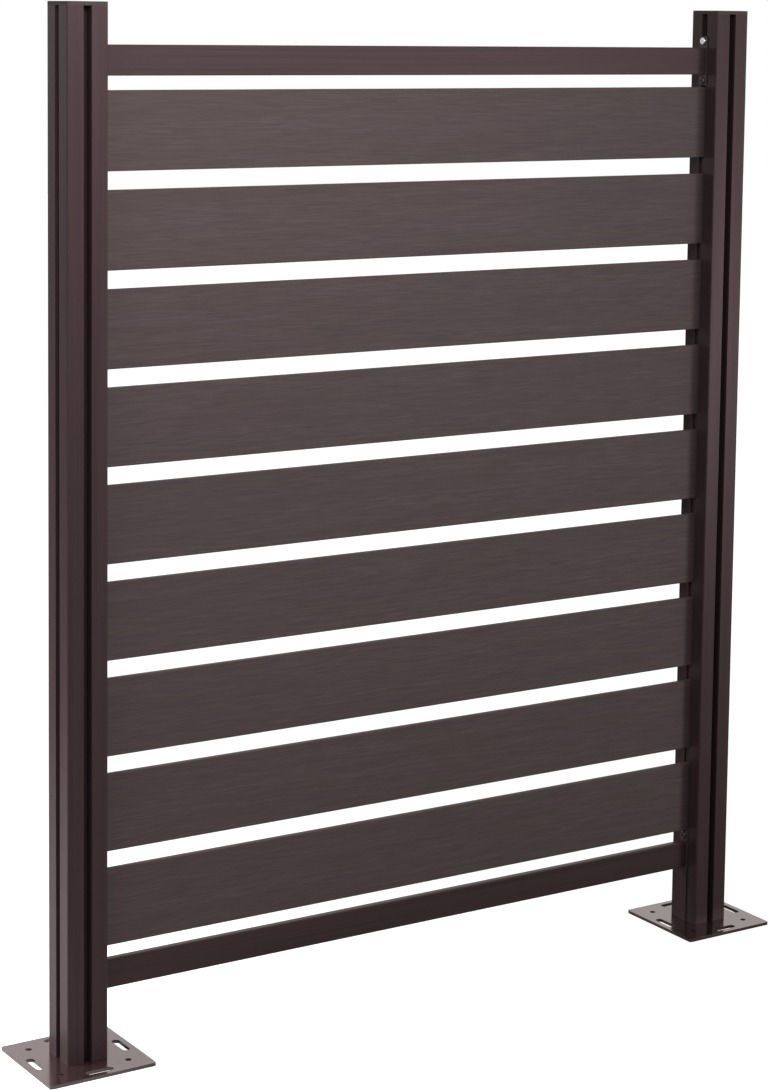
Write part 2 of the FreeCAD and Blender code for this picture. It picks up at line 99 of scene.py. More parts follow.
def pick_edges(piece, wanted):
    """Goes into edit mode with only those edges selected that are wanted."""
    bpy.context.view_layer.objects.active = piece
    bpy.ops.object.mode_set(mode="EDIT")
    bpy.context.tool_settings.mesh_select_mode = (False, True, False)
    bpy.ops.mesh.select_all(action="DESELECT")
    mesh = bmesh.from_edit_mesh(piece.data)
    for edge in mesh.edges:
        edge.select_set(wanted(edge))
    mesh.select_flush_mode()
    bmesh.update_edit_mesh(piece.data)


def select_edges(piece, test):
    """Goes into edit mode with only those edges selected whose two ends pass a test."""
    pick_edges(piece, lambda edge: test(*(corner.co for corner in edge.verts)))


def runs_along(axis):
    """A test for edges that run along the axis with that number."""

    def test(start, end):
        along = abs((end - start)[axis])
        return along > ALONG * (end - start).length

    return test


def round_edges(piece, radius, segments, test):
    """Rounds the edges that pass a test."""
    select_edges(piece, test)
    bpy.ops.mesh.bevel(offset=radius, segments=segments, affect="EDGES")
    bpy.ops.object.mode_set(mode="OBJECT")


def stretch(piece, axis, length):
    """Draws the two halves of a piece apart from the origin along an axis, each by half of a length."""
    for sign in (-1, 1):
        select_edges(piece, lambda *ends: all(sign * end[axis] > 0 for end in ends))
        move = [0, 0, 0]
        move[axis] = sign * length / 2
        bpy.ops.transform.translate(value=move)
        bpy.ops.object.mode_set(mode="OBJECT")


def draw_out(piece, height, length):
    """Extrudes the flat top of a piece, at a height, straight up by a length."""
    select_edges(piece, lambda *ends: all(abs(end.z - height) < TOUCH for end in ends))
    bpy.ops.mesh.extrude_region_move(TRANSFORM_OT_translate={"value": (0, 0, length)})
    bpy.ops.object.mode_set(mode="OBJECT")


def add_modifier(piece, kind, **settings):
    """Adds a modifier with its settings and applies it."""
    bpy.context.view_layer.objects.active = piece
    modifier = piece.modifiers.new(kind, kind)
    for name, setting in settings.items():
        setattr(modifier, name, setting)
    bpy.ops.object.modifier_apply(modifier=modifier.name)


def combine(piece, operation, *tools):
    """Cuts the tools from a piece, or joins them to it, and removes them."""
    for tool in tools:
        add_modifier(piece, "BOOLEAN", operation=operation, object=tool, solver="EXACT")
        bpy.data.objects.remove(tool)
    return piece


def copy_of(piece, name, move):
    """A copy with a mesh of its own, which a matrix moves."""
    twin = piece.copy()
    twin.data = piece.data.copy()
    twin.data.transform(move)
    twin.name = name
    bpy.context.scene.collection.objects.link(twin)
    return twin


def four_around(tool, centre):
    """The tool and three copies, each a quarter turn on, about an upright line."""
    there, back = Matrix.Translation(centre), Matrix.Translation(-centre)
    turns = [there @ Matrix.Rotation(turn * math.pi / 2, 4, "Z") @ back for turn in (1, 2, 3)]
    return [tool] + [copy_of(tool, tool.name, turn) for turn in turns]


def merge_flats(piece):
    """Takes out the seams that a cut or a join leaves across a flat face."""
    select_edges(piece, lambda *ends: True)
    bpy.ops.mesh.dissolve_limited(angle_limit=FLAT)
    bpy.ops.object.mode_set(mode="OBJECT")


def break_edges(piece, width, segments=2):
    """Softens the sharp outer edges a little, as a coating does, and keeps the flats even in the light."""
    merge_flats(piece)
    pick_edges(piece, lambda edge: edge.is_convex and edge.calc_face_angle() > SHARP)
    bpy.ops.mesh.bevel(offset=width, segments=segments, affect="EDGES", clamp_overlap=True)
    bpy.ops.object.mode_set(mode="OBJECT")
    bpy.ops.object.select_all(action="DESELECT")
    piece.select_set(True)
    bpy.ops.object.shade_smooth_by_angle(angle=SHARP)
    add_modifier(piece, "WEIGHTED_NORMAL", keep_sharp=True, weight=100)
    return piece


def stand_for(node, piece, material):
    """The piece takes a CAD node's place, with its finish, and rides on the only body."""
    piece.data.materials.clear()
    piece.data.materials.append(material)
    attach(piece, "root")
    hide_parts(node)


def add_node(material, kind, inputs=(), **settings):
    """Adds a node with its settings. Each input takes a value, an output or a node's first output in use."""
    tree = material.node_tree
    node = tree.nodes.new(kind)
    for name, setting in settings.items():
        setattr(node, name, setting)
    for name, source in dict(inputs).items():
        if isinstance(name, int):
            socket = node.inputs[name]
        else:
            socket = next(item for item in node.inputs if item.enabled and item.name == name)
        if isinstance(source, bpy.types.Node):
            source = next(item for item in source.outputs if item.enabled)
        if isinstance(source, bpy.types.NodeSocket):
            tree.links.new(source, socket)
        else:
            socket.default_value = source
    return node


def linear(code):
    """An sRGB colour of six hex digits, as linear light with full alpha."""
    parts = [int(code[i : i + 2], 16) / 255 for i in (0, 2, 4)]
    return [p / 12.92 if p <= 0.04045 else ((p + 0.055) / 1.055) ** 2.4 for p in parts] + [1]


def new_material(name):
    """An empty node material, and the object's own coordinates in it."""
    material = bpy.data.materials.new(name)
    material.use_nodes = True
    material.node_tree.nodes.clear()
    return material, add_node(material, "ShaderNodeTexCoord").outputs["Object"]


def finish_material(material, inputs):
    """The material's shader and its output."""
    shader = add_node(material, "ShaderNodeBsdfPrincipled", inputs)
    add_node(material, "ShaderNodeOutputMaterial", {"Surface": shader})
    return material


def semi_gloss_powder_coat():
    """Powder coat baked on flat steel: a glossy film, so it mirrors the studio, over a faint orange peel."""
    material, where = new_material("semi_gloss_powder_coat")
    patches = add_node(material, "ShaderNodeTexNoise", {"Vector": where, "Scale": 1 / COAT_PATCH})
    peel = add_node(material, "ShaderNodeTexNoise", {"Vector": where, "Scale": 1 / ORANGE_PEEL})
    colours = {"Factor": patches, "A": linear("2A2224"), "B": linear("2F2729")}
    gloss = {"Value": patches, "From Min": NOISE_LOW, "From Max": NOISE_HIGH, "To Min": 0.20, "To Max": 0.28}
    return finish_material(
        material,
        {
            "Base Color": add_node(material, "ShaderNodeMix", colours, data_type="RGBA"),
            "Roughness": add_node(material, "ShaderNodeMapRange", gloss),
            "IOR": 1.6,
            "Specular Tint": linear("FFD4D4"),
            "Coat Weight": 0.95,
            "Coat Roughness": 0.14,
            "Coat IOR": 1.62,
            "Coat Tint": linear("EAD2D0"),
            "Normal": add_node(material, "ShaderNodeBump", {"Height": peel, "Distance": ORANGE_PEEL_DEPTH}),
        },
    )


def make_base_plate():
    low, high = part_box("left_base_plate")
    centre = (low + high) / 2
    under, over = low.z - CLEAR, high.z + CLEAR
    plate = start_box("left_base_plate_steel", low, high)
    round_edges(plate, PLATE_CORNER, 6, runs_along(Z))
    slot_x = centre.x + ANCHOR_SLOT_REACH
    slot_low, slot_high = (slot_x, 0, under), (slot_x, 0, over)
    slot = start_rod("slot", slot_low, slot_high, ANCHOR_SLOT_WIDTH / 2, sides=SLOT_SIDES)
    stretch(slot, Y, ANCHOR_SLOT_LENGTH - ANCHOR_SLOT_WIDTH)
    hole_x = centre.x + ANCHOR_HOLE_REACH
    hole = start_rod(
        "hole", (hole_x, ANCHOR_HOLE_REACH, under), (hole_x, ANCHOR_HOLE_REACH, over), ANCHOR_HOLE_RADIUS
    )
    port_x = centre.x + PORT_REACH
    sink_top = low.z + COUNTERSINK_RADIUS - PORT_HOLE_RADIUS
    port = start_rod(
        "port",
        (port_x, PORT_REACH, under),
        (port_x, PORT_REACH, sink_top),
        COUNTERSINK_RADIUS + CLEAR,
        PORT_HOLE_RADIUS,
    )
    draw_out(port, sink_top, over - sink_top)
    for tool in (slot, hole, port):
        combine(plate, "DIFFERENCE", *four_around(tool, centre))
    return break_edges(plate, PLATE_EDGE)


HALF_TURN = Matrix.Rotation(math.pi, 4, "Z")
plate_coat = semi_gloss_powder_coat()
left_plate = make_base_plate()
right_plate = copy_of(left_plate, "right_base_plate_steel", HALF_TURN)
stand_for("left_base_plate", left_plate, plate_coat)
stand_for("right_base_plate", right_plate, plate_coat)

# Posts: one aluminium extrusion, cut to length and powder coated a satin dark brown. A channel runs up each
# of its four sides, and a screw port stands in each corner of the hollow. Its long edges are slightly round.
POST_CORNER = 0.003
POST_EDGE = 0.0004
POST_WALL = 0.0022
CHANNEL_HALF = 0.0075
CHANNEL_DEPTH = 0.018
CHANNEL_WALL = 0.0018
PORT_RADIUS = 0.0048
PORT_BORE_RADIUS = 0.0025
DIE_LINE_WIDTH = 0.004
DIE_LINE_LENGTH = 0.5
BAND_WIDTH = 0.012
BAND_LENGTH = 1.0
POWDER_GRAIN = 0.0016
COAT_RELIEF = 0.00002
SCREW_NODES = ("top_bracket_upper_screws", "top_bracket_lower_screws", "bottom_bracket_screws")


def satin_powder_coat(name, long_axis):
    """Powder coat on an extrusion: satin, with the die's fine lines along it and the powder's even grain."""
    material, where = new_material(name)
    # The die's lines are under a millimetre apart. They are drawn wider, so that they show.
    line, band = [DIE_LINE_WIDTH] * 3, [BAND_WIDTH] * 3
    line[long_axis], band[long_axis] = DIE_LINE_LENGTH, BAND_LENGTH
    in_lines = {"Vector": where, "Scale": [1 / size for size in line]}
    in_bands = {"Vector": where, "Scale": [1 / size for size in band]}
    in_lines = add_node(material, "ShaderNodeMapping", in_lines)
    in_bands = add_node(material, "ShaderNodeMapping", in_bands)
    lines = add_node(material, "ShaderNodeTexNoise", {"Vector": in_lines, "Scale": 1, "Detail": 3})
    bands = add_node(material, "ShaderNodeTexNoise", {"Vector": in_bands, "Scale": 1, "Detail": 1})
    powder = add_node(material, "ShaderNodeTexNoise", {"Vector": where, "Scale": 1 / POWDER_GRAIN})
    contrast = {"Value": lines, "From Min": NOISE_LOW, "From Max": NOISE_HIGH}
    contrast = add_node(material, "ShaderNodeMapRange", contrast)
    lined = {"Factor": contrast, "A": linear("2B2123"), "B": linear("3B2D30")}
    lined = add_node(material, "ShaderNodeMix", lined, data_type="RGBA")
    banded = {"Factor": bands, "A": lined, "B": linear("34292A")}
    gloss = {"Value": bands, "From Min": NOISE_LOW, "From Max": NOISE_HIGH, "To Min": 0.30, "To Max": 0.38}
    scored = add_node(material, "ShaderNodeBump", {"Height": lines, "Distance": COAT_RELIEF})
    grained = {"Height": powder, "Distance": COAT_RELIEF, "Normal": scored}
    return finish_material(
        material,
        {
            "Base Color": add_node(material, "ShaderNodeMix", banded, data_type="RGBA"),
            "Roughness": add_node(material, "ShaderNodeMapRange", gloss),
            "IOR": 1.5,
            "Specular IOR Level": 0.15,
            "Specular Tint": linear("FFD8E0"),
            "Normal": add_node(material, "ShaderNodeBump", grained),
        },
    )


def make_post():
    low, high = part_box("left_post")
    centre = (low + high) / 2
    half = (high.x - low.x) / 2
    under, over = low.z - CLEAR, high.z + CLEAR
    floor = half - CHANNEL_DEPTH
    core = floor - CHANNEL_WALL
    near, far = CHANNEL_HALF + CHANNEL_WALL, half - POST_WALL
    port_x = centre.x + PORT_REACH
    post = start_box("left_post_extrusion", low, high)
    round_edges(post, POST_CORNER, 6, runs_along(Z))
    hollow = start_box("core", (centre.x - core, -core, under), (centre.x + core, core, over))
    channel = start_box(
        "channel",
        (centre.x + floor, -CHANNEL_HALF, under),
        (centre.x + half + CLEAR, CHANNEL_HALF, over),
    )
    chamber = start_box("chamber", (centre.x + near, near, under), (centre.x + far, far, over))
    port_low, port_high = (port_x, PORT_REACH, under - CLEAR), (port_x, PORT_REACH, over + CLEAR)
    combine(
        chamber,
        "DIFFERENCE",
        start_rod("port", port_low, port_high, PORT_RADIUS),
        start_box("corner", port_low, (centre.x + far + CLEAR, far + CLEAR, over + CLEAR)),
    )
    bore = start_rod("bore", port_low, port_high, PORT_BORE_RADIUS)
    combine(post, "DIFFERENCE", hollow)
    for tool in (channel, chamber, bore):
        combine(post, "DIFFERENCE", *four_around(tool, centre))
    for node in SCREW_NODES:
        height = sum(corner.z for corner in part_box(node)) / 2
        hole = start_rod("hole", (centre.x, 0, height), (high.x, 0, height), PORT_BORE_RADIUS)
        combine(post, "DIFFERENCE", hole)
    return break_edges(post, POST_EDGE)


upright_coat = satin_powder_coat("satin_powder_coat_upright", Z)
left_post = make_post()
right_post = copy_of(left_post, "right_post_extrusion", HALF_TURN)
stand_for("left_post", left_post, upright_coat)
stand_for("right_post", right_post, upright_coat)

# Base screws: flat-headed self-tapping screws of dark coated steel, four to a post. They go up through the
# plate's countersunk holes into the post's screw ports.
SHANK_RADIUS = 0.0024
BASE_HEAD_RADIUS = 0.0044
RECESS_ARM = 0.0046
RECESS_WIDTH = 0.0014
RECESS_DEPTH = 0.0016
THREAD_PITCH = 0.0016
THREAD_ROOT = 0.84
THREAD_SIDES = 20
SCREW_EDGE = 0.00012
OVERLAP = 0.001
CRYSTAL_SIZE = 0.0005
CRYSTAL_DEPTH = 0.00002
NEARLY = 0.9


def phosphated_steel_and_painted_shade():
    """Phosphated steel, nearly black and dull with a grainy skin; on the four lower bracket screws, painted
    shade.
    """
    material, where = new_material("phosphated_steel_and_painted_shade")
    grains = {"Vector": where, "Scale": 1 / CRYSTAL_SIZE, "Detail": 3}
    grains = add_node(material, "ShaderNodeTexNoise", grains)
    colours = {"Factor": grains, "A": linear("3A3536"), "B": linear("565052")}
    gloss = {"Value": grains, "From Min": NOISE_LOW, "From Max": NOISE_HIGH, "To Min": 0.38, "To Max": 0.52}
    return finish_material(
        material,
        {
            "Base Color": add_node(material, "ShaderNodeMix", colours, data_type="RGBA"),
            "Metallic": 1,
            "Roughness": add_node(material, "ShaderNodeMapRange", gloss),
            "Normal": add_node(material, "ShaderNodeBump", {"Height": grains, "Distance": CRYSTAL_DEPTH}),
        },
    )


def threaded_shank(start, end):
    """A shank between two points, with a thread of V rings from one end to the other."""
    axis = (end - start).normalized()
    rings = int((end - start).length / THREAD_PITCH)
    step = (end - start).length / (2 * rings)
    shank = start_rod("shank", start, end, SHANK_RADIUS, sides=THREAD_SIDES)
    select_edges(shank, lambda one, two: (two - one).length > NEARLY * (end - start).length)
    bpy.ops.mesh.subdivide(number_cuts=2 * rings - 1)
    bpy.ops.object.mode_set(mode="OBJECT")

    def is_root(one, two):
        places = [(point - start).dot(axis) / step for point in (one, two)]
        return abs(places[0] - places[1]) < 0.5 and round(places[0]) % 2 == 1

    select_edges(shank, is_root)
    narrow = [1 if abs(part) > 0.5 else THREAD_ROOT for part in axis]
    bpy.ops.transform.resize(value=narrow, center_override=(start + end) / 2)
    bpy.ops.object.mode_set(mode="OBJECT")
    return shank


def cross_recess(centre, axis):
    """The cutter of a cross recess about a point of a screw's head, whose axis has that number."""
    arms = []
    for along in (X, Y, Z):
        if along != axis:
            half = Vector((RECESS_WIDTH / 2,) * 3)
            half[along] = RECESS_ARM / 2
            half[axis] = RECESS_DEPTH
            arms.append(start_box("recess", centre - half, centre + half))
    return combine(arms[0], "UNION", arms[1])


def join(pieces, name):
    """Makes one piece of several."""
    bpy.ops.object.select_all(action="DESELECT")
    for piece in pieces:
        piece.select_set(True)
    bpy.context.view_layer.objects.active = pieces[0]
    bpy.ops.object.join()
    pieces[0].name = name
    return pieces[0]


def make_base_screws():
    low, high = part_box("left_base_screws")
    centre = (low + high) / 2
    x, y = centre.x + PORT_REACH, PORT_REACH
    face = Vector((x, y, low.z))
    neck = Vector((x, y, low.z + BASE_HEAD_RADIUS - SHANK_RADIUS))
    screw = start_rod("screw", face, neck, BASE_HEAD_RADIUS, SHANK_RADIUS)
    shank = threaded_shank(neck - Vector((0, 0, OVERLAP)), Vector((x, y, high.z)))
    combine(screw, "UNION", shank)
    combine(screw, "DIFFERENCE", cross_recess(face, Z))
    break_edges(screw, SCREW_EDGE, 1)
    return join(four_around(screw, centre), "left_base_screw_set")


blackened_steel_and_painted_shade = phosphated_steel_and_painted_shade()
left_base_screws = make_base_screws()
right_base_screws = copy_of(left_base_screws, "right_base_screw_set", HALF_TURN)
stand_for("left_base_screws", left_base_screws, blackened_steel_and_painted_shade)
stand_for("right_base_screws", right_base_screws, blackened_steel_and_painted_shade)

# Strips: short aluminium extrusions that stand on the base plates, in the posts' inner channels, and carry
# the bottom brackets. A hollow neck fills the channel, and a thin flat head stands 1 mm off the post's face.
STRIP_STANDOFF = 0.001
STRIP_EDGE = 0.0003
FILLER_HALF = 0.0072
SPACER_WALL = 0.0025


def make_strip():
    low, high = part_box("left_strip")
    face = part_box("left_post")[1].x
    under = face + STRIP_STANDOFF
    strip = start_box("left_strip_extrusion", (under, low.y, low.z), high)
    neck = start_box("neck", (low.x, -FILLER_HALF, low.z), (under, FILLER_HALF, high.z))
    inside = FILLER_HALF - SPACER_WALL
    bore = start_box("bore", (low.x + SPACER_WALL, -inside, low.z - CLEAR), (under, inside, high.z + CLEAR))
    combine(strip, "UNION", neck)
    combine(strip, "DIFFERENCE", bore)
    return break_edges(strip, STRIP_EDGE)


left_strip = make_strip()
right_strip = copy_of(left_strip, "right_strip_extrusion", HALF_TURN)
stand_for("left_strip", left_strip, upright_coat)
stand_for("right_strip", right_strip, upright_coat)

# Rail brackets: die-cast, one at each end of each rail, painted to match. A plate lies on the post's face, a
# block fills the channel, and a hollow tongue holds the rail. A screw goes through each tab.
BRACKET_PLATE = 0.0025
BRACKET_CORNER = 0.002
BRACKET_EDGE = 0.0004
TAB_GAP = 0.003
TONGUE_INSET = 0.0018
TONGUE_WALL = 0.0025
SCREW_HOLE_RADIUS = 0.0027
SCREW_HOLE_SIDES = 32
CASTING_PATCH = 0.012
PEBBLE_SIZE = 0.0012
PEBBLE_DEPTH = 0.00003


def painted_casting():
    """Painted zinc casting: like the posts' coat but duller, and a little pebbled from the die."""
    material, where = new_material("painted_casting")
    patches = {"Vector": where, "Scale": 1 / CASTING_PATCH, "Detail": 3}
    patches = add_node(material, "ShaderNodeTexNoise", patches)
    pebbles = {"Vector": where, "Scale": 1 / PEBBLE_SIZE, "Detail": 3}
    pebbles = add_node(material, "ShaderNodeTexNoise", pebbles)
    colours = {"Factor": patches, "A": linear("34292A"), "B": linear("3F3233")}
    gloss = {"Value": pebbles, "From Min": NOISE_LOW, "From Max": NOISE_HIGH, "To Min": 0.36, "To Max": 0.46}
    return finish_material(
        material,
        {
            "Base Color": add_node(material, "ShaderNodeMix", colours, data_type="RGBA"),
            "Roughness": add_node(material, "ShaderNodeMapRange", gloss),
            "IOR": 1.5,
            "Specular IOR Level": 0.3,
            "Normal": add_node(material, "ShaderNodeBump", {"Height": pebbles, "Distance": PEBBLE_DEPTH}),
        },
    )


def make_bracket(level):
    low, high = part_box(f"{level}_left_bracket")
    rail_low, rail_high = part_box(f"{level}_rail")
    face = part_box("left_post")[1].x
    plate_high = high.z - (TAB_GAP if level == "bottom" else 0)
    plate_end = face + BRACKET_PLATE
    name = f"{level}_left_bracket_casting"
    bracket = start_box(name, (face, low.y, low.z), (plate_end, high.y, plate_high))
    is_lengthways = runs_along(X)
    round_edges(
        bracket,
        BRACKET_CORNER,
        5,
        lambda one, two: is_lengthways(one, two) and (level == "top" or one.z > rail_high.z),
    )
    block = start_box("block", (low.x, -FILLER_HALF, low.z), (face, FILLER_HALF, high.z))
    half = rail_high.y - TONGUE_INSET
    tongue = start_box(
        "tongue",
        (plate_end - OVERLAP, -half, rail_low.z + TONGUE_INSET),
        (high.x, half, rail_high.z - TONGUE_INSET),
    )
    hollow_inset = TONGUE_INSET + TONGUE_WALL
    hollow_half = half - TONGUE_WALL
    hollow = start_box(
        "hollow",
        (plate_end, -hollow_half, rail_low.z + hollow_inset),
        (high.x + CLEAR, hollow_half, rail_high.z - hollow_inset),
    )
    combine(bracket, "UNION", block, tongue)
    combine(bracket, "DIFFERENCE", hollow)
    for node in SCREW_NODES:
        height = sum(corner.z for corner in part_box(node)) / 2
        if low.z < height < high.z:
            hole_low, hole_high = (low.x - CLEAR, 0, height), (high.x, 0, height)
            hole = start_rod("hole", hole_low, hole_high, SCREW_HOLE_RADIUS, sides=SCREW_HOLE_SIDES)
            combine(bracket, "DIFFERENCE", hole)
    return break_edges(bracket, BRACKET_EDGE)


casting_paint = painted_casting()
for level in ("bottom", "top"):
    left_bracket = make_bracket(level)
    right_bracket = copy_of(left_bracket, f"{level}_right_bracket_casting", HALF_TURN)
    stand_for(f"{level}_left_bracket", left_bracket, casting_paint)
    stand_for(f"{level}_right_bracket", right_bracket, casting_paint)

# Rails: rectangular aluminium tubes along the bottom and the top, powder coated with the posts. Each slides
# over the tongues of its two brackets.
RAIL_EDGE = 0.002
RAIL_WALL = 0.0015
RAIL_BREAK = 0.0003


def make_rail(level):
    low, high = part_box(f"{level}_rail")
    rail = start_box(f"{level}_rail_tube", low, high)
    round_edges(rail, RAIL_EDGE, 5, runs_along(X))
    wall = Vector((-CLEAR, RAIL_WALL, RAIL_WALL))
    combine(rail, "DIFFERENCE", start_box("bore", low + wall, high - wall))
    return break_edges(rail, RAIL_BREAK)


lengthways_coat = satin_powder_coat("satin_powder_coat_lengthways", X)
for level in ("bottom", "top"):
    stand_for(f"{level}_rail", make_rail(level), lengthways_coat)

# Boards: nine planks of solid composite, embossed and brushed with a wood grain along their length, with
# their ends in the posts' channels. The highest is the first.
BOARD_COUNT = 9
BOARD_EDGE = 0.0015
GRAIN_COLUMNS = 99
GRAIN_ROWS = 99
GRAIN_DEPTH = 0.00025
GRAIN_LENGTH = 0.12
GRAIN_HEIGHT = 0.005
FIBRE_SIZE = (0.045, 0.0014, 0.0014)
FIBRE_DEPTH = 0.00012
FIGURE_SIZE = (0.55, 0.02, 0.016)
FIGURE_DEPTH = 0.0002
TINT_SIZE = (0.30, 0.10, 0.06)
KNOT_SPACING = (0.62, 10, 0.17)
KNOT_CORE = 0.02
KNOT_RIM = 0.07


def brushed_wood_grain():
    """Brushed composite: a dry, even brown with fine fibres, soft darker bands and here and there a knot."""
    material, where = new_material("brushed_wood_grain")
    patterns, contrasts = {}, {}
    # The fibres are drawn thicker than real ones, so that they show.
    for name, size, detail, waver in (
        ("fibres", FIBRE_SIZE, 4, 0),
        ("figure", FIGURE_SIZE, 2, 0.6),
        ("tint", TINT_SIZE, 1, 0),
    ):
        scaled = {"Vector": where, "Scale": [1 / length for length in size]}
        scaled = add_node(material, "ShaderNodeMapping", scaled)
        noise = {"Vector": scaled, "Scale": 1, "Detail": detail, "Distortion": waver}
        patterns[name] = add_node(material, "ShaderNodeTexNoise", noise)
        contrast = {"Value": patterns[name], "From Min": NOISE_LOW, "From Max": NOISE_HIGH}
        contrasts[name] = add_node(material, "ShaderNodeMapRange", contrast)
    fibres, figure = patterns["fibres"], patterns["figure"]
    sparse = {"Vector": where, "Scale": [1 / length for length in KNOT_SPACING]}
    sparse = add_node(material, "ShaderNodeMapping", sparse)
    centres = add_node(material, "ShaderNodeTexVoronoi", {"Vector": sparse, "Scale": 1})
    knot = {"Value": centres, "From Min": KNOT_CORE, "From Max": KNOT_RIM, "To Min": 0.5, "To Max": 0}
    knot = add_node(material, "ShaderNodeMapRange", knot)
    tinted = {"Factor": contrasts["tint"], "A": linear("493E3C"), "B": linear("4D4144")}
    tinted = add_node(material, "ShaderNodeMix", tinted, data_type="RGBA")
    banded = {"Factor": contrasts["figure"], "A": linear("463A3B"), "B": tinted}
    banded = add_node(material, "ShaderNodeMix", banded, data_type="RGBA")
    fibred = {"Factor": contrasts["fibres"], "A": linear("3E3334"), "B": banded}
    fibred = add_node(material, "ShaderNodeMix", fibred, data_type="RGBA")
    knotted = {"Factor": knot, "A": fibred, "B": linear("3A3130")}
    gloss = {"Value": fibres, "From Min": NOISE_LOW, "From Max": NOISE_HIGH, "To Min": 0.68, "To Max": 0.56}
    wavy = add_node(material, "ShaderNodeBump", {"Height": figure, "Distance": FIGURE_DEPTH})
    brushed = {"Height": fibres, "Distance": FIBRE_DEPTH, "Normal": wavy}
    return finish_material(
        material,
        {
            "Base Color": add_node(material, "ShaderNodeMix", knotted, data_type="RGBA"),
            "Roughness": add_node(material, "ShaderNodeMapRange", gloss),
            "IOR": 1.48,
            "Specular IOR Level": 0.16,
            "Normal": add_node(material, "ShaderNodeBump", brushed),
        },
    )


def make_grain_relief():
    """The pattern that the boards' faces are embossed with, and the axes that it is drawn on."""
    bpy.ops.object.empty_add(location=(0, 0, 0))
    axes = bpy.context.object
    axes.scale = (GRAIN_LENGTH, GRAIN_HEIGHT, GRAIN_HEIGHT)
    pattern = bpy.data.textures.new("grain_relief", "CLOUDS")
    pattern.noise_scale = 1
    pattern.noise_depth = 2
    return pattern, axes


def make_board(number):
    low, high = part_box(f"board_{number}")
    board = start_box(f"board_{number}_plank", low, high)
    round_edges(board, BOARD_EDGE, 4, runs_along(X))
    for axis, cuts in ((X, GRAIN_COLUMNS), (Z, GRAIN_ROWS)):
        shortest = (high - low)[axis] / 2
        runs = runs_along(axis)
        select_edges(board, lambda one, two: runs(one, two) and (one - two).length > shortest)
        bpy.ops.mesh.subdivide(number_cuts=cuts)
        bpy.ops.object.mode_set(mode="OBJECT")
    add_modifier(
        board,
        "DISPLACE",
        texture=grain_relief,
        texture_coords="OBJECT",
        texture_coords_object=grain_axes,
        strength=-GRAIN_DEPTH,
        mid_level=0,
    )
    bpy.ops.object.select_all(action="DESELECT")
    board.select_set(True)
    bpy.ops.object.shade_smooth_by_angle(angle=SHARP)
    return board


wood_grain = brushed_wood_grain()
grain_relief, grain_axes = make_grain_relief()
for number in range(1, BOARD_COUNT + 1):
    stand_for(f"board_{number}", make_board(number), wood_grain)
bpy.data.objects.remove(grain_axes)

# Spacers: short lengths of square aluminium tube, powder coated, deep in the posts' inner channels. Each
# carries one board on the next, and the highest is the first.
SPACER_EDGE = 0.0004


def make_spacer():
    low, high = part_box("left_spacer_1")
    spacer = start_box("spacer_tube", low, high)
    wall = Vector((SPACER_WALL, SPACER_WALL, -CLEAR))
    combine(spacer, "DIFFERENCE", start_box("bore", low + wall, high - wall))
    return break_edges(spacer, SPACER_EDGE)


spacer = make_spacer()
for number in range(1, BOARD_COUNT):
    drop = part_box(f"left_spacer_{number}")[0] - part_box("left_spacer_1")[0]
    for side, turn in (("left", Matrix.Identity(4)), ("right", HALF_TURN)):
        twin = copy_of(spacer, f"{side}_spacer_{number}_tube", turn @ Matrix.Translation(drop))
        stand_for(f"{side}_spacer_{number}", twin, upright_coat)
bpy.data.objects.remove(spacer)

# Bracket screws: self-tapping screws with a wide pan head and a cross recess, through each tab into the
# floor of the post's channel. The two above the top rail are bright zinc. The others are the same zinc
# screws, drawn in the dark steel as painted shade.
PAN_HEAD_RADIUS = 0.007
PAN_HEAD_HEIGHT = 0.0032
PAN_HEAD_ROUND = 0.0016
ZINC_CLOUD = 0.003
ZINC_GRAIN = 0.0006
ZINC_DEPTH = 0.00001


def zinc_plated_steel():
    """Bright zinc over turned steel: a pale metal with a fine grain and a slightly cloudy sheen."""
    material, where = new_material("zinc_plated_steel")
    clouds = {"Vector": where, "Scale": 1 / ZINC_CLOUD, "Detail": 3}
    clouds = add_node(material, "ShaderNodeTexNoise", clouds)
    grains = add_node(material, "ShaderNodeTexNoise", {"Vector": where, "Scale": 1 / ZINC_GRAIN})
    colours = {"Factor": clouds, "A": linear("C9C8CB"), "B": linear("DCDBDD")}
    gloss = {"Value": clouds, "From Min": NOISE_LOW, "From Max": NOISE_HIGH, "To Min": 0.22, "To Max": 0.34}
    return finish_material(
        material,
        {
            "Base Color": add_node(material, "ShaderNodeMix", colours, data_type="RGBA"),
            "Metallic": 1,
            "Roughness": add_node(material, "ShaderNodeMapRange", gloss),
            "Normal": add_node(material, "ShaderNodeBump", {"Height": grains, "Distance": ZINC_DEPTH}),
        },
    )


def make_bracket_screws(node):
    low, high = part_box(node)
    height = (low.z + high.z) / 2
    plate_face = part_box("right_post")[0].x - BRACKET_PLATE
    head_face = Vector((plate_face - PAN_HEAD_HEIGHT, 0, height))
    seat = Vector((plate_face, 0, height))
    screw = start_rod(f"{node}_set", head_face, seat, PAN_HEAD_RADIUS)
    round_edges(screw, PAN_HEAD_ROUND, 6, lambda *ends: all(end.x < head_face.x + TOUCH for end in ends))
    shank = threaded_shank(seat - Vector((OVERLAP, 0, 0)), Vector((high.x, 0, height)))
    combine(screw, "UNION", shank)
    combine(screw, "DIFFERENCE", cross_recess(head_face, X))
    break_edges(screw, SCREW_EDGE, 1)
    return join([screw, copy_of(screw, "twin", HALF_TURN)], f"{node}_set")


bright_zinc = zinc_plated_steel()
# The dark steel on the four bracket screws under the top rail and above the bottom rail is painted shade:
# they are the same zinc screws as the two above the top rail.
for node, steel, slot in zip(
    SCREW_NODES,
    (bright_zinc, blackened_steel_and_painted_shade, blackened_steel_and_painted_shade),
    ("zinc_plated_steel", "dark_screw_steel", "dark_screw_steel"),
):
    stand_for(node, make_bracket_screws(node), steel)

